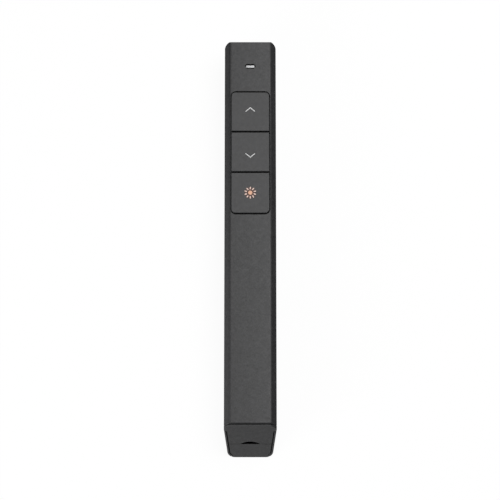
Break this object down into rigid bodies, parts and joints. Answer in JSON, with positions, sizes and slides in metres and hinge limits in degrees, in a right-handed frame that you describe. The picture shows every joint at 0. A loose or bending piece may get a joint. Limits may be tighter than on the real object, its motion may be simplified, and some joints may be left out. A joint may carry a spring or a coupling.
{
  "type": "wireless presentation clicker",
  "caption": "Slim bar-shaped presentation clicker with press keys, a status lamp, a laser nose, a pull-out USB receiver and a sliding battery door.",
  "frame": {"origin": "middle of the flat back, halfway along the length, at the surface that the clicker lies on", "axes": "+Y towards the laser nose, +Z out of the key face, +X to the right seen with the keys up and the nose away"},
  "size_m": [0.0176, 0.143, 0.0153],
  "materials": {
    "shell_plastic": "fine textured black ABS",
    "key_plastic": "smooth satin black ABS",
    "clear_plastic": "milky clear light guide",
    "clear_disc": "polished clear disc",
    "lamp": "surface-mount lamp",
    "board": "green solder mask on glass epoxy",
    "chip": "moulded epoxy package",
    "capacitor": "ceramic chip body",
    "steel": "nickel-plated sheet and wire",
    "screw_steel": "black zinc-plated steel",
    "brass": "turned brass",
    "gold": "gold-plated contact",
    "cell_jacket": "plain shrink jacket",
    "plug_plastic": "white insulator",
    "plunger": "moulded nylon"
  },
  "bodies": {
    "housing": {"front_housing": "shell_plastic", "rear_housing": "shell_plastic", "led_window": "clear_plastic", "status_led": "lamp", "main_board": "board", "radio_chip": "chip", "radio_crystal": "steel", "board_capacitors": "capacitor", "switch_base_up": "chip", "switch_base_down": "chip", "switch_base_laser": "chip", "switch_dome_up": "steel", "switch_dome_down": "steel", "switch_dome_laser": "steel", "switch_cover_up": "steel", "switch_cover_down": "steel", "switch_cover_laser": "steel", "laser_barrel": "brass", "laser_lens": "clear_disc", "laser_diode": "brass", "laser_leads": "steel", "laser_window": "clear_disc", "battery_cell": "cell_jacket", "battery_terminal": "steel", "positive_contact": "steel", "negative_contact": "steel", "negative_spring": "steel", "housing_screws": "screw_steel", "board_screws": "screw_steel"},
    "key_up": {"button_up": "key_plastic", "switch_plunger_up": "plunger"},
    "key_down": {"button_down": "key_plastic", "switch_plunger_down": "plunger"},
    "key_laser": {"button_laser": "key_plastic", "switch_plunger_laser": "plunger"},
    "door": {"battery_door": "shell_plastic"},
    "receiver": {"receiver_cap": "shell_plastic", "plug_shell": "steel", "plug_carrier": "plug_plastic", "plug_contacts": "gold", "receiver_board": "board", "receiver_chip": "chip", "receiver_crystal": "steel"}
  },
  "joints": [
    {"name": "key_up_press", "type": "slide", "parent": "housing", "child": "key_up", "axis": [0, 0, -1], "range_m": [0, 0.0003], "stiffness_N_per_m": 2000, "springref_m": -0.0002, "deforming": ["switch_dome_up"]},
    {"name": "key_down_press", "type": "slide", "parent": "housing", "child": "key_down", "axis": [0, 0, -1], "range_m": [0, 0.0003], "stiffness_N_per_m": 2000, "springref_m": -0.0002, "deforming": ["switch_dome_down"]},
    {"name": "key_laser_press", "type": "slide", "parent": "housing", "child": "key_laser", "axis": [0, 0, -1], "range_m": [0, 0.0003], "stiffness_N_per_m": 2000, "springref_m": -0.0002, "deforming": ["switch_dome_laser"]},
    {"name": "door_slide", "type": "slide", "parent": "housing", "child": "door", "axis": [0, -1, 0], "range_m": [0, 0.085]},
    {"name": "receiver_pull", "type": "slide", "parent": "housing", "child": "receiver", "axis": [0, -1, 0], "range_m": [0, 0.024]}
  ]
}
